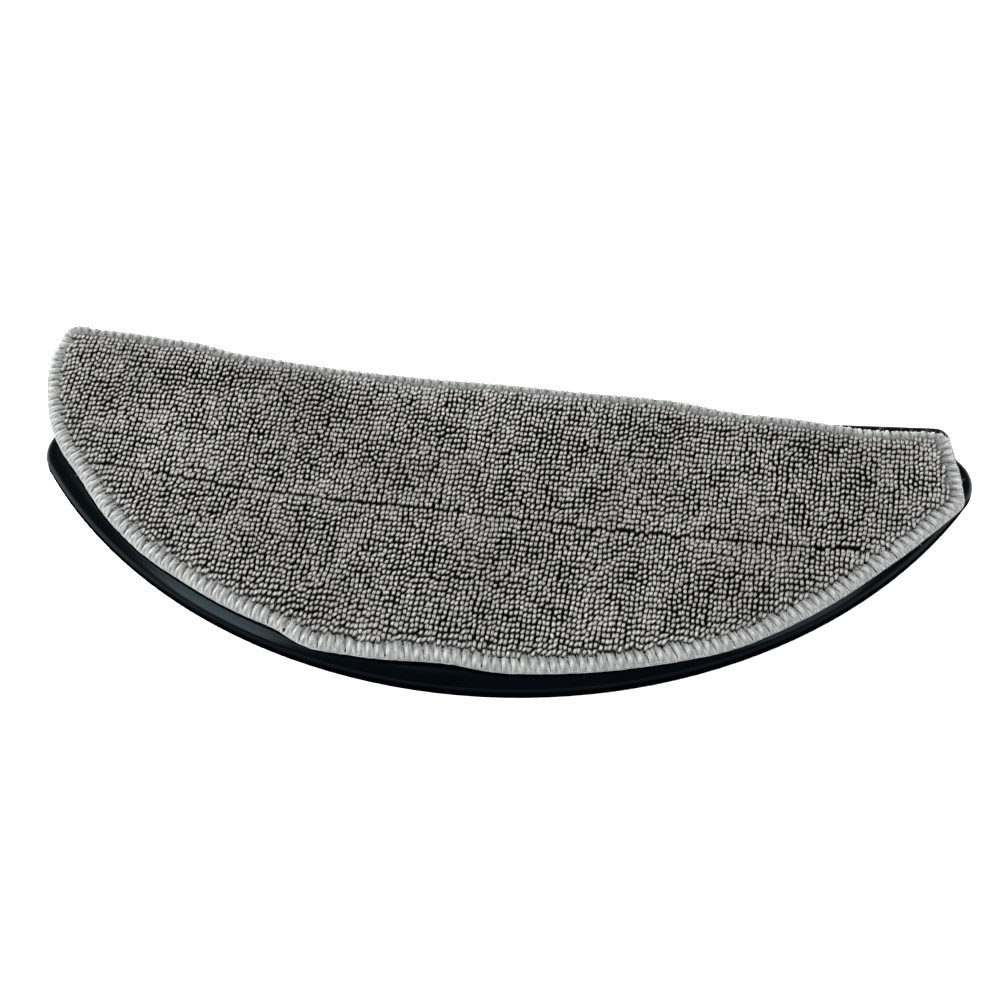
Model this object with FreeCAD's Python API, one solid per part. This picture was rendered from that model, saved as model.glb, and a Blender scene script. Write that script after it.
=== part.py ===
import FreeCAD, Part
import math
import os
from FreeCAD import Vector

# Half-moon mop plate of a robot vacuum with its mop pad, in millimetres.
# The plate lies with its robot side down on z = 0 and carries the pad on top.
# Origin: middle of the central seat on the robot side, on the plate's middle line.
# +X runs along the plate, +Y towards its straight back edge, +Z towards the mop face.

# Plate outline
plate_radius = 168.0
plate_depth = 107.5
plate_height = 6.0
back_corner_trim = 18.5
back_corner_radius = 5.1
notch_drop = 12.9
notch_flare = 1.8
notch_radius = 3.8
ear_slope_deg = 50.5
ear_radius = 12.0

# Plate walls
deck_thickness = 2.2
skirt_thickness = 2.0
edge_rounding = 3.6
largest_rounding_share = 0.9
foot_chamfer = 0.5

# Ribs on the robot side
rib_thickness = 1.4
rib_foot = 0.8
rib_count = 10
ribs_between_sockets = 5
ring_rib_pitch = 28.0
ring_rib_count = 2

# Seat, locating sockets and catch slots on the robot side
seat_radius = 7.0
socket_spacing = 145.0
socket_y = 24.0
socket_boss_radius = 5.5
socket_radius = 3.0
socket_roof = 1.4
catch_spacing = 87.0
catch_edge_distance = 9.0
catch_land_length = 26.0
catch_land_width = 9.0
catch_slot_length = 18.0
catch_slot_width = 3.2
catch_slot_roof = 2.6

# Water feed slots through the deck
feed_slot_length = 16.0
feed_slot_width = 3.0
feed_slot_gap = 6.0
feed_slot_cells = (-2, -1, 1, 2)

# Hook tape in shallow recesses of the deck
tape_thickness = 1.5
tape_recess = 1.0
tape_clearance = 0.3
front_tape_width = 16.0
front_tape_edge_distance = 12.0
front_tape_span_deg = 24.0
front_tape_step_deg = 33.0
back_tape_length = 70.0
back_tape_width = 14.0
back_tape_edge_distance = 8.0
back_tape_end_distance = 42.0

# Mop pad outline, in its own frame: origin at its arc centre, chord towards +Y
pad_extra_radius = 0.5
pad_extra_depth = 8.5
pad_left_trim = 17.1
pad_right_trim = 16.6
pad_corner_radius = 5.0
pad_left_flare = 0.0
pad_left_radius = 75.0
pad_right_flare = 6.3
pad_right_radius = 6.0
pad_chord_sag = 4.4
pad_chord_sag_x = -43.0
pad_chord_shoulder = 0.7
pad_chord_shoulder_x = 45.0

# Where the pad lies on the plate
pad_skew_deg = -7.0
pad_shift_x = 2.15
pad_shift_y = 3.3

# Pad layers
backing_thickness = 0.8
margin_thickness = 0.7
pile_height = 3.2
pile_pitch = 1.44
pile_groove_depth = 1.1
pile_edge_run = 5.0

# Overlocked edge
thread_thickness = 0.5
edging_width = 4.6
edging_crown = 0.9
edging_bevel = 1.3
stitch_pitch = 2.8
stitch_bulge = 0.4
pile_clearance = 0.3

# How near two places count as one, how far a cut overshoots, and how finely triangles are counted
nearness = 0.001
overshoot = 1.0
count_tolerance = 0.1

# Heights that several pieces share
deck_underside = plate_height - deck_thickness
backing_bottom = plate_height - tape_recess + tape_thickness
backing_top = backing_bottom + backing_thickness
margin_top = backing_top + margin_thickness
pile_top = backing_top + pile_height
edging_top = margin_top + edging_crown

# Places that several pieces share
arc_centre = Vector(0, plate_radius - plate_depth / 2, 0)
back_y = plate_depth / 2
back_half_width = math.sqrt(plate_radius ** 2 - (plate_radius - plate_depth) ** 2) - back_corner_trim
rib_pitch = socket_spacing / ribs_between_sockets
front_tape_radius = plate_radius - front_tape_edge_distance
pad_radius = plate_radius + pad_extra_radius
pad_depth = plate_depth + pad_extra_depth
pad_chord_offset = pad_radius - pad_depth
pad_full_half_chord = math.sqrt(pad_radius ** 2 - pad_chord_offset ** 2)


def polar(centre, radius, angle_deg):
    """Point on a circle, the angle counted from the front towards +X."""
    angle = math.radians(angle_deg)
    return centre + Vector(radius * math.sin(angle), -radius * math.cos(angle), 0)


def prism(wire, bottom, top):
    """Upright prism over a flat wire, between two heights."""
    face = Part.Face(wire)
    face.translate(Vector(0, 0, bottom))
    return face.extrude(Vector(0, 0, top - bottom))


def box(length, width, bottom, top, centre):
    """Box centred on a point in plan, between two heights."""
    corner = Vector(centre.x - length / 2, centre.y - width / 2, bottom)
    return Part.makeBox(length, width, top - bottom, corner)


def slot(length, width, bottom, top, centre, along_y=False):
    """Oblong with round ends, centred on a point in plan."""
    straight = length - width
    radius = width / 2
    if along_y:
        core = box(width, straight, bottom, top, centre)
        step = Vector(0, straight / 2, 0)
    else:
        core = box(straight, width, bottom, top, centre)
        step = Vector(straight / 2, 0, 0)
    ends = []
    for side in (-1, 1):
        foot = Vector(centre.x, centre.y, bottom) + step * side
        ends.append(Part.makeCylinder(radius, top - bottom, foot))
    return core.fuse(ends).removeSplitter()


def upright_edges_at(shape, point):
    """Upright edges of a prism that stand on a point of its outline."""
    found = []
    for edge in shape.Edges:
        first = edge.Vertexes[0].Point
        last = edge.Vertexes[-1].Point
        upright = math.hypot(first.x - last.x, first.y - last.y) < nearness
        if upright and math.hypot(first.x - point.x, first.y - point.y) < nearness:
            found.append(edge)
    return found


def rounded_outline(edges, roundings):
    """Closed wire through the edges, its corners rounded as listed: (corner, radius)."""
    body = Part.Face(Part.Wire(edges)).extrude(Vector(0, 0, 1))
    for corner, radius in roundings:
        body = body.makeFillet(radius, upright_edges_at(body, corner))
    foot = [face for face in body.Faces if face.BoundBox.ZMax < nearness]
    return foot[0].OuterWire


def offset_wire(wire, distance):
    """Flat wire moved outwards by a distance, or inwards where it is negative."""
    return wire.makeOffset2D(distance)


def straightened(wire, run):
    """Flat wire of short straight runs along another wire."""
    points = wire.discretize(Number=round(wire.Length / run) + 1)[:-1]
    return Part.makePolygon(points + points[:1])


def mirrored(point):
    """The same point on the other side of the plate's middle line."""
    return Vector(-point.x, point.y, point.z)


def plate_outline():
    """Half moon: front arc, an ear at each end, a notch and the straight back edge."""
    corner = Vector(back_half_width, back_y, 0)
    notch = Vector(back_half_width + notch_flare, back_y - notch_drop, 0)
    slope = math.radians(ear_slope_deg)
    ramp = Vector(math.cos(slope), -math.sin(slope), 0)
    from_centre = notch - arc_centre
    along = from_centre.dot(ramp)
    to_arc = math.sqrt(along ** 2 - from_centre.Length ** 2 + plate_radius ** 2) - along
    ear = notch + ramp * to_arc
    front = arc_centre - Vector(0, plate_radius, 0)
    right = [corner, notch, ear]
    left = [mirrored(point) for point in right]
    edges = [
        Part.LineSegment(corner, notch).toShape(),
        Part.LineSegment(notch, ear).toShape(),
        Part.Arc(ear, front, left[2]).toShape(),
        Part.LineSegment(left[2], left[1]).toShape(),
        Part.LineSegment(left[1], left[0]).toShape(),
        Part.LineSegment(left[0], corner).toShape(),
    ]
    radii = [back_corner_radius, notch_radius, ear_radius]
    return rounded_outline(edges, list(zip(right + left, radii + radii)))


def rim_edges(shape, height):
    """Edges of a shape that lie flat at a height."""
    return [
        edge for edge in shape.Edges
        if max(abs(edge.BoundBox.ZMin - height), abs(edge.BoundBox.ZMax - height)) < nearness
    ]


def plate_shell(outline):
    """Outer form of the moulding: well rounded on the pad side, chamfered at its foot."""
    body = prism(outline, 0, plate_height)
    rounding = min(edge_rounding, largest_rounding_share * min(back_corner_radius, ear_radius))
    body = body.makeFillet(rounding, rim_edges(body, plate_height))
    return body.makeChamfer(foot_chamfer, rim_edges(body, 0))


def rib_grid():
    """Upright ribs across the plate and ring ribs that follow its front arc."""
    ribs = []
    for index in range(rib_count):
        place = Vector((index - (rib_count - 1) / 2) * rib_pitch, 0, 0)
        ribs.append(box(rib_thickness, plate_depth, rib_foot, deck_underside, place))
    for index in range(ring_rib_count):
        radius = plate_radius - (index + 1) * ring_rib_pitch
        foot = arc_centre + Vector(0, 0, rib_foot)
        height = deck_underside - rib_foot
        outer = Part.makeCylinder(radius + rib_thickness / 2, height, foot)
        inner = Part.makeCylinder(radius - rib_thickness / 2, height, foot)
        ribs.append(outer.cut(inner))
    return ribs


def socket_places():
    """Plan positions of the two locating sockets."""
    return [Vector(side * socket_spacing / 2, socket_y, 0) for side in (-1, 1)]


def catch_places():
    """Plan positions of the two catch slots near the back edge."""
    place_y = back_y - catch_edge_distance
    return [Vector(side * catch_spacing / 2, place_y, 0) for side in (-1, 1)]


def feed_places():
    """Plan positions of the feed slots: mid-cell, on an arc just inside the front tapes."""
    radius = front_tape_radius - front_tape_width - feed_slot_gap - feed_slot_length / 2
    places = []
    for cell in feed_slot_cells:
        place_x = cell * rib_pitch
        place_y = arc_centre.y - math.sqrt(radius ** 2 - place_x ** 2)
        places.append(Vector(place_x, place_y, 0))
    return places


def lands():
    """Solid places on the robot side: central seat, socket bosses and catch lands."""
    solids = [Part.makeCylinder(seat_radius, deck_underside)]
    for place in socket_places():
        solids.append(Part.makeCylinder(socket_boss_radius, deck_underside, place))
    for place in catch_places():
        solids.append(box(catch_land_length, catch_land_width, 0, deck_underside, place))
    return solids


def front_tape_wire(angle_deg, growth=0):
    """Curved strip that follows the front arc, grown all round by a distance."""
    outer = front_tape_radius + growth
    inner = outer - front_tape_width - 2 * growth
    middle = (outer + inner) / 2
    half = front_tape_span_deg / 2 + math.degrees(growth / middle)
    corners = [
        polar(arc_centre, outer, angle_deg - half),
        polar(arc_centre, outer, angle_deg + half),
        polar(arc_centre, inner, angle_deg + half),
        polar(arc_centre, inner, angle_deg - half),
    ]
    edges = [
        Part.Arc(corners[0], polar(arc_centre, outer, angle_deg), corners[1]).toShape(),
        Part.LineSegment(corners[1], corners[2]).toShape(),
        Part.Arc(corners[2], polar(arc_centre, inner, angle_deg), corners[3]).toShape(),
        Part.LineSegment(corners[3], corners[0]).toShape(),
    ]
    return Part.Wire(edges)


def back_tape_wire(side, growth=0):
    """Straight strip along the back edge, grown all round by a distance."""
    half_length = back_tape_length / 2 + growth
    half_width = back_tape_width / 2 + growth
    centre = Vector(
        side * (back_half_width - back_tape_end_distance - back_tape_length / 2),
        back_y - back_tape_edge_distance - back_tape_width / 2,
        0,
    )
    corners = [
        centre + Vector(half_length, half_width, 0),
        centre + Vector(-half_length, half_width, 0),
        centre + Vector(-half_length, -half_width, 0),
        centre + Vector(half_length, -half_width, 0),
    ]
    return Part.makePolygon(corners + corners[:1])


def tape_wires(growth=0):
    """Every hook tape outline by its node name."""
    return {
        "hook_tape_front_left": front_tape_wire(-front_tape_step_deg, growth),
        "hook_tape_front_middle": front_tape_wire(0, growth),
        "hook_tape_front_right": front_tape_wire(front_tape_step_deg, growth),
        "hook_tape_back_left": back_tape_wire(-1, growth),
        "hook_tape_back_right": back_tape_wire(1, growth),
    }


def mop_plate():
    """The one-piece moulding."""
    outline = plate_outline()
    pockets = prism(offset_wire(outline, -skirt_thickness), 0, deck_underside)
    pockets = pockets.cut(rib_grid() + lands())
    cuts = [pockets]
    for place in socket_places():
        cuts.append(Part.makeCylinder(socket_radius, plate_height - socket_roof, place))
    for place in catch_places():
        roof = plate_height - catch_slot_roof
        cuts.append(slot(catch_slot_length, catch_slot_width, 0, roof, place))
    for place in feed_places():
        cuts.append(slot(feed_slot_length, feed_slot_width, 0, plate_height, place, along_y=True))
    for wire in tape_wires(tape_clearance).values():
        cuts.append(prism(wire, plate_height - tape_recess, plate_height))
    return plate_shell(outline).cut(cuts)


def hook_tape(wire):
    """One strip of self-adhesive hook tape, standing a little out of its recess."""
    return prism(wire, plate_height - tape_recess, backing_bottom)


def to_plate(shape):
    """Moves a shape from the pad's own frame to where the pad lies on the plate."""
    placed = shape.copy()
    placed.rotate(Vector(0, 0, 0), Vector(0, 0, 1), pad_skew_deg)
    placed.translate(arc_centre + Vector(pad_shift_x, pad_shift_y, 0))
    return placed


def pad_end_corner(half_chord, flare, side):
    """Where a pad end, flaring away from the chord, meets the front arc."""
    start = Vector(half_chord, -pad_chord_offset, 0)
    sharp_y = -math.sqrt(pad_radius ** 2 - half_chord ** 2)
    drop = Vector(flare, sharp_y - start.y, 0)
    drop.normalize()
    along = start.dot(drop)
    reach = math.sqrt(along ** 2 - start.Length ** 2 + pad_radius ** 2) - along
    corner = start + drop * reach
    return Vector(side * corner.x, corner.y, 0)


def pad_outline():
    """D shape of the pad: front arc, two blunt ends and a slightly hollow chord."""
    right_half = pad_full_half_chord - pad_right_trim
    left_half = pad_full_half_chord - pad_left_trim
    top_right = Vector(right_half, -pad_chord_offset, 0)
    top_left = Vector(-left_half, -pad_chord_offset, 0)
    end_right = pad_end_corner(right_half, pad_right_flare, 1)
    end_left = pad_end_corner(left_half, pad_left_flare, -1)
    hollow = Vector(pad_chord_sag_x, -pad_chord_offset - pad_chord_sag, 0)
    shoulder = Vector(pad_chord_shoulder_x, -pad_chord_offset - pad_chord_shoulder, 0)
    edges = [
        Part.Arc(top_left, hollow, shoulder).toShape(),
        Part.LineSegment(shoulder, top_right).toShape(),
        Part.LineSegment(top_right, end_right).toShape(),
        Part.Arc(end_right, Vector(0, -pad_radius, 0), end_left).toShape(),
        Part.LineSegment(end_left, top_left).toShape(),
    ]
    roundings = [
        (top_right, pad_corner_radius),
        (end_right, pad_right_radius),
        (end_left, pad_left_radius),
        (top_left, pad_corner_radius),
    ]
    return rounded_outline(edges, roundings)


def stitch_wires(outline, levels):
    """Toothed wires along the pad's rim, one tooth to a stitch.

    Each level is an inset and a height, and has its teeth at the same places.
    """
    count = round(outline.Length / stitch_pitch)
    points = outline.discretize(Number=2 * count + 1)[:-1]
    following = points[1:] + points[:1]
    turn = sum(first.x * last.y - last.x * first.y for first, last in zip(points, following))
    wires = []
    for inset, height in levels:
        moved = []
        for index, point in enumerate(points):
            along = following[index] - points[index - 1]
            outwards = Vector(along.y, -along.x, 0) * math.copysign(1, turn)
            outwards.normalize()
            valley = 0 if index % 2 else stitch_bulge
            moved.append(point - outwards * (valley + inset) + Vector(0, 0, height))
        wires.append(Part.makePolygon(moved + moved[:1]))
    return wires


def edge_stitching(outline):
    """Overlock thread round the pad's rim: a toothed ring that grips both cloths."""
    levels = [
        (thread_thickness / 2, plate_height),
        (0, margin_top),
        (edging_bevel, edging_top),
    ]
    body = Part.makeLoft(stitch_wires(outline, levels), True, True)
    window = prism(offset_wire(outline, -edging_width), plate_height - overshoot, edging_top + overshoot)
    groove = prism(cloth_wire(outline), backing_bottom, margin_top)
    return body.cut([window, groove])


def cloth_wire(outline):
    """Cut edge of both cloths, inside the thread that wraps them."""
    return offset_wire(outline, -thread_thickness - stitch_bulge)


def mop_backing(outline):
    """Loop-knit backing that the hook tape grips."""
    return prism(cloth_wire(outline), backing_bottom, backing_top)


def pile_profile():
    """Upright cross-section of the pile: one ridge to a row of loops."""
    rows = math.ceil(2 * pad_radius / pile_pitch)
    valley = pile_top - pile_groove_depth
    points = []
    for row in range(rows):
        left = (row - rows / 2) * pile_pitch
        points.append(Vector(left, 0, valley))
        points.append(Vector(left + pile_pitch / 2, 0, pile_top))
    end = rows / 2 * pile_pitch
    points.append(Vector(end, 0, valley))
    points.append(Vector(end, 0, backing_top))
    points.append(Vector(-end, 0, backing_top))
    points.append(points[0])
    return Part.Face(Part.makePolygon(points))


def mop_face_cloth(outline):
    """Looped microfibre face: ridges of pile inside a flat margin under the stitching."""
    margin = prism(cloth_wire(outline), backing_top, margin_top)
    bed = straightened(offset_wire(outline, -edging_width - pile_clearance), pile_edge_run)
    pile = pile_profile()
    pile.translate(Vector(0, -pad_radius, 0))
    pile = pile.extrude(Vector(0, pad_radius, 0))
    pile = pile.common(prism(bed, backing_top, pile_top))
    return margin.fuse(pile).removeSplitter()


def export(name, shape):
    """Writes one sub-part and prints what it holds."""
    if not shape.isValid() or shape.Volume <= 0:
        raise ValueError(name + " is not a sound solid")
    shape.exportStep(os.path.join("parts", name + ".step"))
    triangles = len(shape.tessellate(count_tolerance)[1])
    print(name, len(shape.Solids), "solids", round(shape.Volume), "mm3", triangles, "triangles")


def main():
    """Builds every sub-part in its place and writes it."""
    os.makedirs("parts", exist_ok=True)
    export("mop_plate", mop_plate())
    for name, wire in tape_wires().items():
        export(name, hook_tape(wire))
    outline = pad_outline()
    export("mop_backing", to_plate(mop_backing(outline)))
    export("mop_face_cloth", to_plate(mop_face_cloth(outline)))
    export("edge_stitching", to_plate(edge_stitching(outline)))


main()
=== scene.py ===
import math

import bpy
import numpy as np
from mathutils import Matrix, Vector, noise


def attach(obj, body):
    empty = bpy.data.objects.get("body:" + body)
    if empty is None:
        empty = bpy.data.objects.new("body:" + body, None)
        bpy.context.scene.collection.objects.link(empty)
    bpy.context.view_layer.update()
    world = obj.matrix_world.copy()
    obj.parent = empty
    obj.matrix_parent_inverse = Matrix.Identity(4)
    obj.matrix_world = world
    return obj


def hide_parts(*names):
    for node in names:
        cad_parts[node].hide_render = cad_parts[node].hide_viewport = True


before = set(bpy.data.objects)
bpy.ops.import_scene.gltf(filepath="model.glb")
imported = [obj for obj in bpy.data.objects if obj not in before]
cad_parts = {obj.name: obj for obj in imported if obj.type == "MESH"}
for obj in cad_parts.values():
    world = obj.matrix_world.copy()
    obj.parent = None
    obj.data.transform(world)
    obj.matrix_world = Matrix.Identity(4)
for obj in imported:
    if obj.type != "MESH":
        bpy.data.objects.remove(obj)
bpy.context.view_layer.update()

mm = 0.001
random = np.random.default_rng(11)

# Where the pad lies: the centre of its front arc, and how far the pad is turned on the plate.
pad_centre = np.array([2.15, 117.55]) * mm
pad_turn = math.radians(-7.0)
pad_chord = -52.5 * mm          # the straight back edge, in the pad's own axes

# The two cloths of the pad, upwards from the plate.
deck_top = 6.0 * mm
backing_bottom = 6.5 * mm
backing_top = 7.3 * mm
cloth_top = 8.0 * mm
cloth_wave = 0.2 * mm
cloth_wave_size = 24 * mm
sheet_rings = 30                # rings of corners in a cloth, closer together towards its middle
sheet_crowding = 0.8
sheet_stride = 3                # every third rim point is a corner of the cloths

# The pad's rim.
rim_step = 0.7 * mm
rim_softening = 1               # neighbours on each side that a rim point is averaged with
pull_softening = 4
back_edge_reach = 12            # how near the straight edge, in mm, a rim point belongs to it
#             place along the pad, distance outwards, half width, each in mm
front_pulls = [
    (-143, 1.0, 2.5),
    (-122, -2.0, 11),
    (-91, 0.5, 8),
    (-47, -0.5, 6),
    (-35, 2.0, 9),
    (-8, -1.1, 8),
    (5, -2.5, 11),
    (28, -0.9, 24),
    (86, 1.3, 15),
    (126, -0.8, 11),
    (147, 1.2, 5),
]
back_pulls = [
    (-112, 1.5, 16),
    (-97, 1.2, 8),
    (-50, -0.4, 20),
    (6, 0.8, 20),
    (57, 0.4, 8),
    (76, -1.4, 13),
    (98, -1.0, 20),
    (118, -2.0, 14),
]

# The pile: one loop of yarn to each stitch of the knit.
column_pitch = 1.44 * mm
row_pitch = 2.06 * mm
grid_turn = math.radians(-5.0)
grid_reach = 170 * mm           # how far the knitted grid is laid out before it is cut to the rim
grid_margin = 2 * mm
loop_width = 1.08 * mm
loop_length = 3.05 * mm
column_shift = 0.9 * mm         # how far neighbouring columns stray from one another along their length
column_shift_size = 16 * mm
loop_flatness = 0.62            # the yarn's height for its width
loop_top = 10.35 * mm
loop_foot = 8.2 * mm
loop_slant = math.radians(14)
slant_sway = math.radians(20)
slant_sway_size = 12 * mm
loop_sides = 6
loop_squareness = 0.62
loop_bow = 0.10 * mm
shade_depth = 0.9 * mm          # how far below its top a loop is in the dark
grid_drift = 0.9 * mm
grid_drift_size = 34 * mm
grid_ripple = 0.52 * mm
grid_ripple_size = 6.5 * mm
loop_scatter = 0.12 * mm
pile_start = 4.2 * mm           # how far inside the cloth's cut edge the first loops stand
pile_rise = 4.0 * mm            # how far further in they have their full height
edge_drop = 0.75 * mm           # how much lower the loops at the pile's edge are
top_scatter = 0.10 * mm
flat_drop = 0.25 * mm           # how much lower the loops are where they are pressed flat
flat_patch_size = 21 * mm
flat_left_start = 80 * mm       # how far left of the middle more and more loops are flat
flat_left_rise = 40 * mm
loop_size_patch = 9 * mm
loop_stretch_patch = 11 * mm
loop_bow_patch = 3 * mm
tone_patch = 30 * mm

# The crease across the pile, from left to right, in the pad's axes from the middle of its back edge.
crease_x = np.array([-140, -94, -68, -15, 50, 107, 140]) * mm
crease_y = np.array([-57, -59, -60.8, -59, -58, -54, -52]) * mm
crease_gap = 0.90 * mm          # how near it the middle of a loop can stand
crease_reach = 2.2 * mm
crease_sink = 0.15 * mm
crease_fold = 1.3 * mm          # how far in front of the crease the loops lie flattest

# The overlock stitches round the rim.
stitch_pitch = 2.84 * mm
band_width = 4.8 * mm           # from the cut edge inwards, at the back
band_extra = 1.4 * mm           # how much wider it is at the front
band_sway = 0.7 * mm
band_sway_size = 5 * mm
front_lean = -1.2 * mm          # how far along the rim the inner ends lean at the front
lean_sway = 0.5 * mm
lean_sway_size = 45 * mm
stitch_scatter = 0.14 * mm
inner_scatter = 0.3 * mm
height_scatter = 0.07 * mm
yarn_radius = 0.62 * mm
yarn_thickest = 0.72 * mm       # the most that a strand's half height is
yarn_sides = 6
over_edge = 1.3                 # the height in mm over the deck above which a strand lies on the cloth
over_flatness = 0.95            # a strand's height for its width there
under_flatness = 0.62           # and below the cloth
band_softening = 7
bed_inset = 0.6 * mm            # how far the roll of thread stays short of the strands' inner ends
cord_radius = 0.27 * mm         # the thread that ties the stitches together along the cut edge
cord_inset = 0.42 * mm
cord_height = 1.0 * mm
cord_wander = 0.12 * mm
cord_wander_size = 2.2 * mm
# The cord sits near the cut edge on the thread's ramp of painted highlight and shade, a little darker than
# the pearls' crest.
cord_share = 0.08               # the part of the yarn's colour range that the cord has
fluff_count = 12000
fluff_radius = 0.045 * mm
fluff_shortest = 0.7
fluff_longest = 2.0
fluff_top = 2.95                # over the deck, in mm, where the stitches are highest
fluff_crest = 0.45              # the share of the way in where that is
fluff_edge = 0.06               # fibres nearer the cut edge than this share stand on its side
fluff_edge_height = 1.6         # over the deck, in mm
fluff_sides = 3
front_right = np.array([0.35, -0.94])

# The camera, in the part's axes.
camera_aim = Vector((-1.09, 20.62, 0)) * mm
camera_distance = 700 * mm
camera_elevation = math.radians(50.142)
camera_azimuth = math.radians(3.607)
camera_roll = math.radians(-0.657)
camera_lens = 81.43
sensor_width = 36.0
camera_near = 10 * mm

# The studio. Each row of soft boxes is bent: it runs through its corners, in metres.
floor_half = 1.5
air_brightness = 0.72
left_corners = [(-0.22, 0.82, 0.95), (-0.42, 0.30, 0.955), (-0.665, -0.13, 0.935), (-0.93, -0.65, 0.32)]
right_corners = [(0.13, 0.85, 0.95), (0.37, 0.31, 0.955), (0.64, -0.09, 0.94), (0.96, -0.61, 0.31)]
#     name, width, glow
left_boxes = [
    ("left_back_light", 0.17, 24),
    ("left_side_light", 0.28, 24),
    ("left_front_light", 0.42, 27),
]
right_boxes = [
    ("right_back_light", 0.18, 15),
    ("right_side_light", 0.30, 13),
    ("right_front_light", 0.38, 11),
]

# The plate's shine.
plate_shine = 0.031
dull_wall_top = 2.8 * mm        # the side wall is dull up to here
shiny_from = 4.4 * mm


def rotation(angle):
    """The matrix that turns plan points by an angle."""
    return np.array([[math.cos(angle), -math.sin(angle)], [math.sin(angle), math.cos(angle)]])


def in_pad(points):
    """Plan points in the pad's own axes, from the centre of its front arc."""
    return (points - pad_centre) @ rotation(pad_turn)


def sway(points, size, layer):
    """A smooth random value for each plan point, from about -1 to 1, that changes over distances of size."""
    return np.array([noise.noise(Vector((x / size, y / size, layer))) for x, y in points])


def lengths(vectors):
    return np.linalg.norm(vectors, axis=-1, keepdims=True)


def softened(ring, reach):
    """A closed ring of points, each averaged with its neighbours."""
    return sum(np.roll(ring, k, axis=0) for k in range(-reach, reach + 1)) / (2 * reach + 1)


def pad_rim():
    """The cut edge of the pad, anticlockwise, as points a rim_step apart, read from the backing's solid."""
    corners = np.array([v.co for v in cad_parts["mop_backing"].data.vertices])
    low = corners[:, 2] < corners[:, 2].min() + 0.01 * mm
    outline = np.unique(np.round(corners[low, :2], 6), axis=0)
    spokes = outline - outline.mean(0)
    outline = outline[np.argsort(np.arctan2(spokes[:, 1], spokes[:, 0]))]
    closed = np.vstack([outline, outline[:1]])
    along = np.concatenate([[0], np.cumsum(lengths(np.diff(closed, axis=0)))])
    stations = np.arange(0, along[-1], rim_step)
    ring = np.column_stack([np.interp(stations, along, closed[:, axis]) for axis in (0, 1)])
    ring = softened(ring, rim_softening)
    own = in_pad(ring) / mm
    at_back = own[:, 1] > pad_chord / mm - back_edge_reach
    outwards = np.zeros(len(ring))
    for pulls, there in ((front_pulls, ~at_back), (back_pulls, at_back)):
        for place, distance, width in pulls:
            outwards += there * distance * mm * np.exp(-(((own[:, 0] - place) / width) ** 2))
    return ring - inward_of(ring) * softened(outwards, pull_softening)[:, None]


def inward_of(ring):
    """The directions that point into a closed anticlockwise ring."""
    ahead = np.roll(ring, -2, axis=0) - np.roll(ring, 2, axis=0)
    ahead /= lengths(ahead)
    return np.column_stack([-ahead[:, 1], ahead[:, 0]])


def depth_inside(points):
    """How far plan points lie inside the rim, and below 0 outside it."""
    middle = rim.mean(0)
    spokes, arms = rim - middle, points - middle
    order = np.argsort(np.arctan2(spokes[:, 1], spokes[:, 0]))
    angles = np.arctan2(spokes[:, 1], spokes[:, 0])[order]
    reach = np.interp(
        np.arctan2(arms[:, 1], arms[:, 0]), angles, lengths(spokes)[order, 0], period=2 * math.pi
    )
    nearest = np.array([lengths(rim - p).min() for p in points])
    return np.where(lengths(arms)[:, 0] < reach, nearest, -nearest)


def crease_distance(points):
    """How far plan points lie behind the crease, and below 0 in front of it."""
    own = in_pad(points)
    return own[:, 1] - pad_chord - np.interp(own[:, 0], crease_x, crease_y)


def cloth_lift(points):
    """How far the cloth's gentle waves raise it at plan points, down to nothing at the rim."""
    settled = np.clip(depth_inside(points) / pile_rise, 0, 1)
    return settled * cloth_wave * (0.6 + sway(points, cloth_wave_size, 3.7))


def mesh_object(name, vertices, faces, **attributes):
    """A smooth mesh object, with a value for each vertex in each named attribute."""
    mesh = bpy.data.meshes.new(name)
    mesh.from_pydata(vertices.tolist(), [], faces)
    for attribute, values in attributes.items():
        kind, field = ("FLOAT", "value") if values.ndim == 1 else ("FLOAT_VECTOR", "vector")
        made = mesh.attributes.new(attribute, kind, "POINT")
        made.data.foreach_set(field, values.astype(np.float32).ravel())
    mesh.shade_smooth()
    piece = bpy.data.objects.new(name, mesh)
    bpy.context.scene.collection.objects.link(piece)
    return piece


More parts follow.
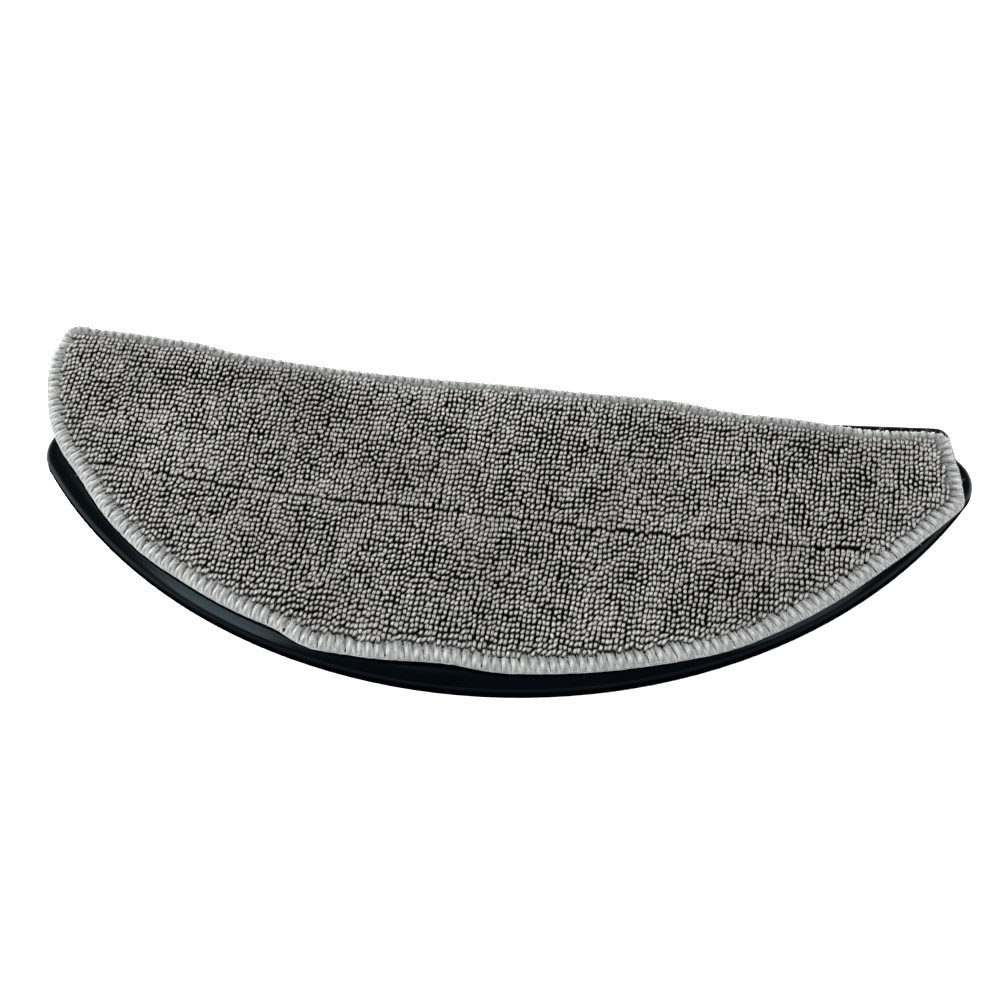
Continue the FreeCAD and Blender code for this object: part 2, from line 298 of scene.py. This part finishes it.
def tubes(paths, across, wide, thick, sides, squareness=1.0):
    """Closed tubes round many paths of the same number of points.

    paths is (tubes, points, 3), across the sideways direction of each tube, and wide and thick its half
    sizes at each point. Below 1, squareness makes the section less round. It returns the vertices, the faces
    and for each vertex how far along and round its tube it is.
    """
    ahead = np.gradient(paths, axis=1)
    ahead /= lengths(ahead)
    side = across[:, None] - ahead * (across[:, None] * ahead).sum(-1, keepdims=True)
    side /= lengths(side)
    up = np.cross(side, ahead)
    turns = 2 * math.pi * np.arange(sides) / sides
    sideways = np.sign(np.cos(turns)) * np.abs(np.cos(turns)) ** squareness
    upwards = np.sign(np.sin(turns)) * np.abs(np.sin(turns)) ** squareness
    rings = (
        paths[:, :, None]
        + side[:, :, None] * (wide[:, :, None] * sideways)[..., None]
        + up[:, :, None] * (thick[:, :, None] * upwards)[..., None]
    )
    count, points = paths.shape[:2]
    steps = np.linalg.norm(np.diff(paths, axis=1), axis=-1)
    along = np.concatenate([np.zeros((count, 1)), np.cumsum(steps, axis=1)], axis=1)
    yarn = np.empty((count, points, sides, 3))
    yarn[..., 0] = along[:, :, None]
    yarn[..., 1] = sideways * wide[:, :, None]
    yarn[..., 2] = upwards * thick[:, :, None]

    starts = np.arange(count)[:, None, None] * points * sides + np.arange(points - 1)[None, :, None] * sides
    k = np.arange(sides)[None, None, :]
    after = (k + 1) % sides
    quads = np.stack([starts + k, starts + after, starts + after + sides, starts + k + sides], axis=-1)
    first = np.arange(count)[:, None] * points * sides + np.arange(sides)[None, ::-1]
    last = np.arange(count)[:, None] * points * sides + (points - 1) * sides + np.arange(sides)[None]
    faces = quads.reshape(-1, 4).tolist() + first.tolist() + last.tolist()
    return rings.reshape(-1, 3), faces, yarn.reshape(-1, 3)


def cloth_sheet(name, bottom, top, lifted):
    """A closed sheet of cloth inside the rim, made of rings that shrink towards its middle."""
    edge = rim[::sheet_stride]
    middle = edge.mean(0)
    shares = 1 - np.linspace(0, 1, sheet_rings + 1)[:-1] ** sheet_crowding
    plan = np.concatenate([middle + (edge - middle) * share for share in shares] + [middle[None]])
    lift = cloth_lift(plan) if lifted else np.zeros(len(plan))
    below = np.column_stack([plan, np.full(len(plan), bottom)])
    above = np.column_stack([plan, top + lift])
    count, rings = len(edge), len(shares)
    faces = []
    for ring in range(rings - 1):
        for k in range(count):
            a, b = ring * count + k, ring * count + (k + 1) % count
            faces.append((a + len(plan), b + len(plan), b + count + len(plan), a + count + len(plan)))
            faces.append((b, a, a + count, b + count))
    centre = len(plan) - 1
    inner = (rings - 1) * count
    for k in range(count):
        after = (k + 1) % count
        faces.append((inner + k + len(plan), inner + after + len(plan), centre + len(plan)))
        faces.append((inner + after, inner + k, centre))
        faces.append((k, after, after + len(plan), k + len(plan)))
    return mesh_object(name, np.concatenate([below, above]), faces)


def pile_spots():
    """The plan places of the loops: a knitted grid that drifts and ripples, and opens along the crease."""
    columns, rows = np.meshgrid(
        np.arange(-grid_reach, grid_reach, column_pitch), np.arange(-grid_reach, grid_reach, row_pitch)
    )
    spots = np.column_stack([columns.ravel(), rows.ravel()])
    apart = spots * (0.8 * column_shift_size / column_pitch, 1)
    spots[:, 1] += column_shift * sway(apart, column_shift_size, 23.4)
    spots = spots @ rotation(grid_turn).T
    low, high = rim.min(0) - grid_margin, rim.max(0) + grid_margin
    spots = spots[((spots > low) & (spots < high)).all(1)]
    for size, amount, layer in (
        (grid_drift_size, grid_drift, 1.3),
        (grid_ripple_size, grid_ripple, 5.1),
    ):
        spots = spots + amount * np.column_stack([sway(spots, size, layer), sway(spots, size, layer + 20)])
    spots = spots + random.normal(0, loop_scatter, spots.shape)
    behind = crease_distance(spots)
    cleared = np.sign(behind) * np.cbrt(np.abs(behind) ** 3 + crease_gap**3)
    return spots + (cleared - behind)[:, None] * (rotation(pad_turn) @ np.array([0, 1]))


def pile_loops(name, spots):
    """Arched loops of yarn at plan places, broad and flat on top."""
    count = len(spots)
    settled = np.clip((depth_inside(spots) - pile_start) / pile_rise, 0, 1)
    leftwards = np.clip((-in_pad(spots)[:, 0] - flat_left_start) / flat_left_rise, 0, 1)
    folded = np.exp(-(((crease_distance(spots) + crease_fold) / crease_fold) ** 2))
    flat = 1.5 * sway(spots, flat_patch_size, 8.8) - 0.1 + 0.4 * leftwards + 0.8 * folded
    flat = np.clip(flat, 0, 1)
    in_crease = np.exp(-((crease_distance(spots) / crease_reach) ** 2))
    slant = (
        loop_slant
        + slant_sway * sway(spots, slant_sway_size, 2.2)
        + slant_sway * 1.1 * sway(spots, slant_sway_size / 4, 6.6)
        + random.normal(0, 0.16, count)
    ) * (1 - 0.5 * in_crease)
    heading = math.pi / 2 + grid_turn - slant
    forward = np.column_stack([np.cos(heading), np.sin(heading), np.zeros(count)])
    across = np.column_stack([-forward[:, 1], forward[:, 0], np.zeros(count)])
    size = random.normal(1, 0.05, count) * (1 + 0.12 * sway(spots, loop_size_patch, 12.4))
    stretch = 1 + 0.16 * sway(spots, loop_stretch_patch, 15.9) + random.normal(0, 0.06, count)
    top = loop_top - edge_drop * (1 - settled) - flat_drop * flat - crease_sink * in_crease
    top = top + random.normal(0, top_scatter, count) + cloth_lift(spots)

    radius = 0.5 * loop_width * size * (1 + 0.18 * flat)
    half = 0.5 * loop_length * size * stretch - radius * loop_flatness
    #                foot  shoulder  top  shoulder  foot
    ways = np.array([-1.05, -0.95, 0.0, 0.95, 1.08])
    heights = np.array([0.0, 0.86, 1.0, 0.9, 0.0])
    girths = np.array([0.72, 0.97, 1.05, 0.97, 0.7])
    bow = random.normal(0, 1, count) + 3 * sway(spots, loop_bow_patch, 40.1)
    paths = np.zeros((count, len(ways), 3))
    paths[..., :2] = spots[:, None]
    paths += forward[:, None] * (half[:, None] * ways)[..., None]
    paths += across[:, None] * (loop_bow * bow[:, None] * (ways**2 - 0.5))[..., None]
    paths[..., 2] = loop_foot + (top - radius * loop_flatness - loop_foot)[:, None] * heights
    wide = radius[:, None] * girths
    vertices, faces, yarn = tubes(paths, across, wide, wide * loop_flatness, loop_sides, loop_squareness)

    # Besides random and patchy tone, this paints light: dimmer where the loops lie flat, standing in for
    # their weaker highlights, and painted shade in the crease.
    tone = 0.5 + 0.12 * random.normal(0, 1, count) - 0.1 * flat - 0.1 * in_crease
    tone = tone + 0.3 * sway(spots, tone_patch, 18.5)
    each = len(ways) * loop_sides
    # How high each vertex stands within shade_depth of its loop's top; the yarn's finish turns this into
    # painted shade on the lower sides.
    raised = 1 - (np.repeat(top, each) - vertices[:, 2]) / shade_depth
    return mesh_object(
        name,
        vertices,
        faces,
        tone=np.repeat(np.clip(tone, 0, 1), each),
        raised=np.clip(raised, 0, 1),
        yarn=yarn + np.repeat(random.uniform(0, 9, count), each)[:, None],
    )


def at_rim(stations, ring):
    """Points of a ring that belongs to the rim, at lengths along the rim."""
    places = np.arange(len(ring)) * rim_step
    return np.column_stack([
        np.interp(stations, places, ring[:, axis], period=len(ring) * rim_step) for axis in (0, 1)
    ])


def front_share(inward):
    """1 where the rim faces the front right, and 0 where it faces away from it."""
    return np.clip(0.5 - 0.5 * inward @ front_right, 0, 1)


def band_inner(inward):
    """The ring where the stitches end on the pile."""
    band = band_width + band_extra * front_share(inward) ** 2
    return softened(rim + inward * band[:, None], band_softening)


def overlock_yarn():
    """The stitches: strands that run out over the rim, round it, and back below the cloth."""
    count = int(len(rim) * rim_step / stitch_pitch)
    pitch = len(rim) * rim_step / count
    inward = inward_of(rim)
    inner = band_inner(inward)
    lean = lean_sway * sway(rim, lean_sway_size, 33.1) + front_lean * front_share(inward) ** 2
    starts = np.arange(count) * pitch + random.normal(0, stitch_scatter, count)
    lean = np.interp(starts, np.arange(len(rim)) * rim_step, lean)
    #              at the rim, inner end, girth at the rim, girth inside, height, reach, shift into painted
    #              shade
    strands = [
        (0.50, 0.40, 1.28, 0.90, 0.16, 1.0, 0.0),
        (0.70, 0.85, 0.80, 0.90, 0.02, 1.05, 0.1),
        (1.00, 0.10, 1.08, 0.85, -0.08, 0.96, 0.28),
        (0.28, 0.62, 0.80, 0.90, 0.0, 0.92, 0.15),
    ]
    #   share of the way in, height over the deck, girth, share of the girth at the rim
    profile = np.array([
        (1.02, 2.00, 0.45, 0.0),
        (0.88, 2.42, 0.78, 0.0),
        (0.66, 2.55, 0.90, 0.0),
        (0.42, 2.66, 0.95, 0.5),
        (0.22, 2.56, 1.02, 1.0),
        (0.05, 2.00, 0.92, 1.0),
        (-0.03, 1.35, 0.80, 0.6),
        (0.04, 0.78, 0.85, 0.2),
        (0.30, 0.52, 0.62, 0.0),
        (0.72, 0.50, 0.50, 0.0),
    ])
    share, height, girth, outermost = profile.T
    over = height > over_edge
    paths, across, wide, tones = [], [], [], []
    for rim_place, inner_place, rim_girth, inner_girth, rise, reach, shade_shift in strands:
        outer = at_rim(starts + rim_place * pitch, rim)
        inner_at = starts + inner_place * pitch + lean + random.normal(0, inner_scatter, count)
        inside = at_rim(inner_at, inner)
        run = (inside - outer) * (reach * random.normal(1, 0.07, count))[:, None]
        run = run * (1 + band_sway / band_width * sway(inside, band_sway_size, 30.2))[:, None]
        path = np.zeros((count, len(share), 3))
        path[..., :2] = outer[:, None] + run[:, None] * share[None, :, None]
        path[..., 2] = deck_top + height * mm + rise * mm * over
        path[..., 2] += random.normal(0, height_scatter, (count, len(share))) * over
        paths.append(path)
        way = run / lengths(run)
        across.append(np.column_stack([-way[:, 1], way[:, 0], np.zeros(count)]))
        # Each strand's place on the thread's ramp of painted highlight and shade; the lower strands are
        # shifted along it into painted shade.
        tone = np.repeat(np.maximum(share, 0) + shade_shift, yarn_sides)
        tones.append(np.tile(tone, count))
        swell = random.normal(1, 0.08, count)[:, None]
        wide.append(yarn_radius * swell * girth * (inner_girth + (rim_girth - inner_girth) * outermost))
    paths, across, wide = np.concatenate(paths), np.concatenate(across), np.concatenate(wide)
    thick = np.minimum(wide * np.where(over, over_flatness, under_flatness), yarn_thickest)
    vertices, faces, yarn = tubes(paths, across, wide, thick, yarn_sides)
    return vertices, faces, yarn, np.concatenate(tones)


def ring_faces(count, sides):
    """The faces of a closed tube whose points are listed section by section."""
    faces = []
    for a in range(count):
        b = (a + 1) % count
        for k in range(sides):
            after = (k + 1) % sides
            faces.append((a * sides + k, a * sides + after, b * sides + after, b * sides + k))
    return faces


def edge_cord():
    """The thread along the cut edge that ties the stitches together."""
    inward = inward_of(rim)
    wander = cord_wander * sway(rim, cord_wander_size, 51.3)
    middle = rim - inward * (cord_inset + wander)[:, None]
    turns = 2 * math.pi * np.arange(yarn_sides) / yarn_sides
    ring = np.zeros((len(rim), yarn_sides, 3))
    ring[..., :2] = middle[:, None] + inward[:, None] * (cord_radius * np.cos(turns))[None, :, None]
    ring[..., 2] = deck_top + cord_height + cord_radius * np.sin(turns)
    yarn = np.zeros((len(rim), yarn_sides, 3))
    yarn[..., 0] = (np.arange(len(rim)) * rim_step)[:, None]
    yarn[..., 1] = cord_radius * np.cos(turns)
    yarn[..., 2] = cord_radius * np.sin(turns)
    shares = np.full(len(rim) * yarn_sides, cord_share)
    return ring.reshape(-1, 3), ring_faces(len(rim), yarn_sides), yarn.reshape(-1, 3), shares


def stitch_bed():
    """The roll of thread under the stitches, as one closed tube round the rim."""
    inward = inward_of(rim)
    inner = band_inner(inward) - inward * bed_inset
    #   share of the way in, height over the deck
    section = np.array([
        (1.0, 1.9),
        (0.6, 2.25),
        (0.2, 2.1),
        (0.02, 1.6),
        (0.0, 1.0),
        (0.1, 0.5),
        (0.6, 0.25),
        (1.0, 0.4),
    ])
    ring = np.zeros((len(rim), len(section), 3))
    ring[..., :2] = rim[:, None] + (inner - rim)[:, None] * section[None, :, :1]
    ring[..., 2] = deck_top + section[:, 1] * mm
    return mesh_object("stitch_bed", ring.reshape(-1, 3), ring_faces(len(rim), len(section)))


def fibres(roots, directions, reach, radius):
    """Fine bent fibres from their roots."""
    count = len(roots)
    steps = np.linspace(0, 1, 3)
    bend = random.normal(0, 0.35, (count, 3)) * reach[:, None]
    paths = (
        roots[:, None]
        + (directions * reach[:, None])[:, None] * steps[None, :, None]
        + bend[:, None] * (steps**2)[None, :, None]
    )
    across = np.cross(directions, random.normal(0, 1, (count, 3)))
    across /= lengths(across)
    wide = radius * np.linspace(1, 0.5, len(steps)) * np.ones((count, 1))
    return tubes(paths, across, wide, wide, fluff_sides)


def rim_fluff():
    """Short fibres that stand off the overlock yarn, most of them where it meets the pile."""
    stations = random.uniform(0, len(rim) * rim_step, fluff_count)
    inward = inward_of(rim)
    outer, inner = at_rim(stations, rim), at_rim(stations, band_inner(inward))
    share = random.beta(2.2, 0.9, fluff_count) * 1.08
    place = outer + (inner - outer) * share[:, None]
    height = deck_top + (fluff_top - 1.2 * np.abs(share - fluff_crest) ** 1.5) * mm
    height = np.where(share < fluff_edge, deck_top + fluff_edge_height * mm, height)
    roots = np.column_stack([place, height])
    heading = random.normal(0, 0.8, (fluff_count, 3))
    heading[:, :2] += (inner - outer) / lengths(inner - outer) * ((share - 0.35) * 2.4)[:, None]
    heading[:, 2] = np.abs(heading[:, 2]) * 0.5
    heading /= lengths(heading)
    reach = random.uniform(fluff_shortest, fluff_longest, fluff_count) * mm
    vertices, faces, yarn = fibres(roots, heading, reach, fluff_radius)
    # Fibres near the rim take the pearls' painted highlight from the thread's ramp, those further in its
    # darker, greyer end.
    inner_share = np.repeat(0.2 + 0.35 * share, len(vertices) // fluff_count)
    return mesh_object("rim_fluff", vertices, faces, yarn=yarn, inner_share=inner_share)


def joined(parts):
    """One set of vertices, faces, yarn coordinates and inner shares from several."""
    vertices, faces, yarn, shares = zip(*parts)
    starts = np.cumsum([0] + [len(some) for some in vertices])
    faces = [
        tuple(corner + start for corner in face) for start, some in zip(starts, faces) for face in some
    ]
    return np.concatenate(vertices), faces, np.concatenate(yarn), np.concatenate(shares)


class Surface:
    """A node material in the making, with the few kinds of node that the finishes share."""

    def __init__(self, name, roughness=0.5, specular=0.5):
        self.material = bpy.data.materials.new(name)
        self.material.use_nodes = True
        self.nodes = self.material.node_tree.nodes
        self.links = self.material.node_tree.links
        self.shader = self.nodes["Principled BSDF"]
        self.set("Roughness", roughness)
        self.set("Specular IOR Level", specular)

    def set(self, socket, value):
        self.shader.inputs[socket].default_value = value

    def place(self):
        return self.nodes.new("ShaderNodeTexCoord").outputs["Object"]

    def attribute(self, name, output="Fac"):
        node = self.nodes.new("ShaderNodeAttribute")
        node.attribute_name = name
        return node.outputs[output]

    def stretched(self, vector, scale):
        node = self.nodes.new("ShaderNodeMapping")
        node.inputs["Scale"].default_value = scale
        self.links.new(vector, node.inputs["Vector"])
        return node.outputs["Vector"]

    def noise(self, vector, scale, detail=3.0):
        node = self.nodes.new("ShaderNodeTexNoise")
        node.inputs["Scale"].default_value = scale
        node.inputs["Detail"].default_value = detail
        self.links.new(vector, node.inputs["Vector"])
        return node.outputs["Fac"]

    def cells(self, vector, scale):
        node = self.nodes.new("ShaderNodeTexVoronoi")
        node.inputs["Scale"].default_value = scale
        self.links.new(vector, node.inputs["Vector"])
        return node.outputs["Distance"]

    def ramp(self, factor, *stops):
        """A colour or grey for each place on the factor; a stop is a place and a colour."""
        node = self.nodes.new("ShaderNodeValToRGB")
        elements = node.color_ramp.elements
        while len(elements) < len(stops):
            elements.new(0.5)
        for element, (place, colour) in zip(elements, stops):
            element.position = place
            element.color = (*colour, 1)
        self.links.new(factor, node.inputs["Fac"])
        return node.outputs["Color"]

    def times(self, first, second):
        """Two colours multiplied."""
        node = self.nodes.new("ShaderNodeMix")
        node.data_type = "RGBA"
        node.blend_type = "MULTIPLY"
        node.inputs["Factor"].default_value = 1
        self.links.new(first, node.inputs["A"])
        self.links.new(second, node.inputs["B"])
        return node.outputs["Result"]

    def between(self, factor, low, high):
        """The factor's range from 0 to 1 turned into a range of values."""
        node = self.nodes.new("ShaderNodeMapRange")
        node.inputs["To Min"].default_value = low
        node.inputs["To Max"].default_value = high
        self.links.new(factor, node.inputs["Value"])
        return node.outputs["Result"]

    def by_height(self, low, high, value):
        """Nothing below one height of the piece, rising to a value at another."""
        axes = self.nodes.new("ShaderNodeSeparateXYZ")
        self.links.new(self.place(), axes.inputs["Vector"])
        node = self.nodes.new("ShaderNodeMapRange")
        node.inputs["From Min"].default_value = low
        node.inputs["From Max"].default_value = high
        node.inputs["To Max"].default_value = value
        self.links.new(axes.outputs["Z"], node.inputs["Value"])
        return node.outputs["Result"]

    def bump(self, height, distance, strength=1.0):
        node = self.nodes.new("ShaderNodeBump")
        node.inputs["Distance"].default_value = distance
        node.inputs["Strength"].default_value = strength
        self.links.new(height, node.inputs["Height"])
        self.links.new(node.outputs["Normal"], self.shader.inputs["Normal"])

    def link(self, output, socket):
        self.links.new(output, self.shader.inputs[socket])


def plate_plastic():
    """Satin black moulded plastic with a fine grain and faint cloudy wear, dull on its lower side wall."""
    surface = Surface("plate_plastic")
    surface.set("Specular Tint", (0.66, 0.9, 1.0, 1))
    cloud = surface.noise(surface.place(), 45, 4)
    black = surface.ramp(cloud, (0.3, (0.0, 0.0002, 0.0005)), (0.7, (0.0001, 0.0005, 0.0009)))
    surface.link(black, "Base Color")
    surface.link(surface.between(cloud, 0.14, 0.20), "Roughness")
    surface.link(surface.by_height(dull_wall_top, shiny_from, plate_shine), "Specular IOR Level")
    grain = surface.noise(surface.place(), 3600, 2)
    surface.bump(grain, 0.008 * mm, 0.5)
    return surface.material


def hook_tape():
    """Black hook tape: rows of tiny hooks."""
    surface = Surface("hook_tape", 0.6, 0.3)
    hooks = surface.cells(surface.place(), 1500)
    black = surface.ramp(hooks, (0.1, (0.035, 0.035, 0.038)), (0.6, (0.008, 0.008, 0.009)))
    surface.link(black, "Base Color")
    surface.bump(hooks, 0.25 * mm)
    return surface.material


def pile_yarn():
    """Warm grey microfibre, with painted shade: near black towards the foot of each loop, paler on top."""
    surface = Surface("pile_yarn", 0.9, 0.04)
    tone = surface.ramp(
        surface.attribute("tone"),
        (0.0, (0.125, 0.123, 0.120)),
        (0.5, (0.178, 0.176, 0.172)),
        (1.0, (0.232, 0.230, 0.224)),
    )
    # Painted shade: the loops' lower sides and the gaps between them go near black; their tops keep the full
    # colour.
    rise = surface.ramp(
        surface.attribute("raised"),
        (0.50, (0.001, 0.001, 0.001)),
        (0.68, (0.02, 0.02, 0.02)),
        (0.85, (0.76, 0.76, 0.76)),
        (1.0, (1.0, 1.0, 1.0)),
    )
    # Streaks along the yarn: partly the strands' own texture, partly painted highlight strokes on the loops.
    lay = surface.stretched(surface.attribute("yarn", "Vector"), (700, 4200, 4200))
    strands = surface.noise(lay, 1, 2)
    fibre_and_highlight_streaks = surface.ramp(strands, (0.36, (0.55, 0.55, 0.55)), (0.62, (1.0, 1.0, 1.0)))
    surface.link(surface.times(surface.times(tone, rise), fibre_and_highlight_streaks), "Base Color")
    surface.bump(strands, 0.09 * mm, 0.8)
    return surface.material


def ground_cloth_painted_shade():
    """The knit that the loops stand on, painted near black as the shade between them."""
    surface = Surface("ground_cloth_painted_shade", 0.9, 0.02)
    knit = surface.cells(surface.place(), 900)
    dark = surface.ramp(knit, (0.1, (0.006, 0.0055, 0.005)), (0.7, (0.001, 0.001, 0.001)))
    surface.link(dark, "Base Color")
    surface.bump(knit, 0.3 * mm)
    return surface.material


def backing_knit():
    """Grey loop-knit backing with fine ribs."""
    surface = Surface("backing_knit", 0.88, 0.2)
    wave = surface.nodes.new("ShaderNodeTexWave")
    wave.inputs["Scale"].default_value = 260
    wave.inputs["Distortion"].default_value = 1.5
    wave.inputs["Detail Scale"].default_value = 3
    surface.links.new(surface.place(), wave.inputs["Vector"])
    fuzz = surface.noise(surface.place(), 1600, 3)
    ribs = surface.ramp(wave.outputs["Fac"], (0.1, (0.32, 0.32, 0.31)), (0.8, (0.52, 0.52, 0.5)))
    spread = surface.ramp(fuzz, (0.3, (0.7, 0.7, 0.7)), (0.7, (1.0, 1.0, 1.0)))
    surface.link(surface.times(ribs, spread), "Base Color")
    surface.bump(wave.outputs["Fac"], 0.3 * mm)
    return surface.material


def overlock_thread():
    """Off-white fluffy yarn, streaked along its length."""
    surface = Surface("overlock_thread", 0.8, 0.2)
    surface.set("Sheen Weight", 0.4)
    surface.set("Sheen Roughness", 0.5)
    surface.set("Subsurface Weight", 0.25)
    surface.set("Subsurface Radius", (0.0012, 0.0012, 0.0012))
    lay = surface.stretched(surface.attribute("yarn", "Vector"), (450, 3800, 3800))
    streak = surface.noise(lay, 1, 3)
    patch = surface.noise(surface.place(), 260, 3)
    colour = surface.ramp(streak, (0.3, (0.085, 0.090, 0.088)), (0.62, (0.196, 0.204, 0.198)))
    patchy = surface.ramp(patch, (0.3, (0.75, 0.76, 0.76)), (0.65, (1.0, 1.0, 1.0)))
    # Painted highlight and shade: the yarn is brightest on the pearls' crest near the rim, darker where it
    # turns down round the cut edge and under the cloth, and greyer further in.
    inwards = surface.ramp(
        surface.attribute("inner_share"),
        (0.0, (0.48, 0.48, 0.48)),
        (0.10, (0.80, 0.80, 0.80)),
        (0.22, (1.0, 1.0, 1.0)),
        (0.38, (0.80, 0.80, 0.80)),
        (0.60, (0.47, 0.47, 0.46)),
        (1.0, (0.40, 0.40, 0.39)),
    )
    surface.link(surface.times(surface.times(colour, patchy), inwards), "Base Color")
    surface.bump(streak, 0.16 * mm, 0.9)
    return surface.material


def stitch_shade():
    """The thread under the stitches, painted dark grey as the shade in the lines between them."""
    surface = Surface("stitch_shade", 0.9, 0.1)
    fuzz = surface.noise(surface.place(), 1800, 3)
    grey = surface.ramp(fuzz, (0.3, (0.045, 0.047, 0.046)), (0.7, (0.11, 0.115, 0.112)))
    surface.link(grey, "Base Color")
    surface.bump(fuzz, 0.2 * mm)
    return surface.material


def floor_paint():
    """A pale matt floor with the faintest unevenness."""
    surface = Surface("floor_paint", 0.9, 0.1)
    haze = surface.noise(surface.place(), 9, 2)
    pale = surface.ramp(haze, (0.2, (0.90, 0.90, 0.90)), (0.8, (0.93, 0.93, 0.93)))
    surface.link(pale, "Base Color")
    surface.bump(surface.noise(surface.place(), 800, 2), 0.02 * mm, 0.2)
    return surface.material


def dress(piece, finish, slot, *nodes):
    """A piece gets its finish and its body, and stands for the nodes. The slot is not used."""
    piece.data.materials.clear()
    piece.data.materials.append(finish)
    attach(piece, "root")
    if nodes:
        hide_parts(*nodes)
    return piece


def soft_strip(name, start, end, width, glow):
    """A long soft box from start to end that faces the middle of the plate; glow is its radiance."""
    start, end = Vector(start), Vector(end)
    along = (end - start).normalized()
    facing = (start + end) / 2
    facing = (facing - along * facing.dot(along)).normalized()
    lamp = bpy.data.lights.new(name, "AREA")
    lamp.shape = "RECTANGLE"
    lamp.size = (end - start).length
    lamp.size_y = width
    lamp.energy = glow * math.pi * lamp.size * lamp.size_y
    holder = bpy.data.objects.new(name, lamp)
    turned = Matrix((along, facing.cross(along), facing)).transposed().to_4x4()
    holder.matrix_world = Matrix.Translation((start + end) / 2) @ turned
    bpy.context.scene.collection.objects.link(holder)


def studio():
    """The pale floor, the soft light and the camera."""
    corners = floor_half * np.array([(-1, -1, 0), (1, -1, 0), (1, 1, 0), (-1, 1, 0)])
    floor = mesh_object("floor", corners, [(0, 1, 2, 3)])
    floor.data.materials.append(floor_paint())

    world = bpy.data.worlds.new("studio_air")
    world.use_nodes = True
    air = world.node_tree.nodes["Background"]
    air.inputs["Color"].default_value = (1, 1, 1, 1)
    air.inputs["Strength"].default_value = air_brightness
    bpy.context.scene.world = world
    for row, boxes in ((left_corners, left_boxes), (right_corners, right_boxes)):
        for start, end, (name, width, glow) in zip(row, row[1:], boxes):
            soft_strip(name, start, end, width, glow)
    bpy.context.scene.view_settings.view_transform = "Standard"

    lens = bpy.data.cameras.new("camera")
    lens.sensor_width = sensor_width
    lens.lens = camera_lens
    lens.clip_start = camera_near
    camera = bpy.data.objects.new("camera", lens)
    turned = (
        Matrix.Rotation(camera_azimuth, 4, "Z")
        @ Matrix.Rotation(math.pi / 2 - camera_elevation, 4, "X")
        @ Matrix.Rotation(camera_roll, 4, "Z")
    )
    back = turned.to_3x3() @ Vector((0, 0, 1))
    camera.matrix_world = Matrix.Translation(camera_aim + back * camera_distance) @ turned
    bpy.context.scene.collection.objects.link(camera)
    bpy.context.scene.camera = camera


rim = pad_rim()

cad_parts["mop_plate"].material_slots[0].material = plate_plastic()
tape = hook_tape()
for node in ("front_left", "front_middle", "front_right", "back_left", "back_right"):
    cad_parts["hook_tape_" + node].material_slots[0].material = tape

backing = dress(
    cloth_sheet("pad_backing", backing_bottom, backing_top, False),
    backing_knit(),
    "backing_knit",
    "mop_backing",
)
ground = dress(
    cloth_sheet("pad_ground", backing_top, cloth_top, True),
    ground_cloth_painted_shade(),
    "microfibre_pile",
    "mop_face_cloth",
)

spots = pile_spots()
spots = spots[depth_inside(spots) > pile_start]
behind_crease = crease_distance(spots) > 0
to_left = in_pad(spots)[:, 0] < 0
patches = {
    "pile_back_left": behind_crease & to_left,
    "pile_back_right": behind_crease & ~to_left,
    "pile_front": ~behind_crease,
}
yarn_finish = pile_yarn()
pile = [
    dress(pile_loops(name, spots[chosen]), yarn_finish, "microfibre_pile")
    for name, chosen in patches.items()
]

vertices, faces, yarn, shares = joined([overlock_yarn(), edge_cord()])
thread = overlock_thread()
stitches = dress(
    mesh_object("overlock_stitches", vertices, faces, yarn=yarn, inner_share=shares),
    thread,
    "overlock_thread",
    "edge_stitching",
)
# The roll under the stitches carries the painted shade seen between them.
bed = dress(stitch_bed(), stitch_shade(), "overlock_thread")
fluff = dress(rim_fluff(), thread, "overlock_thread")

studio()
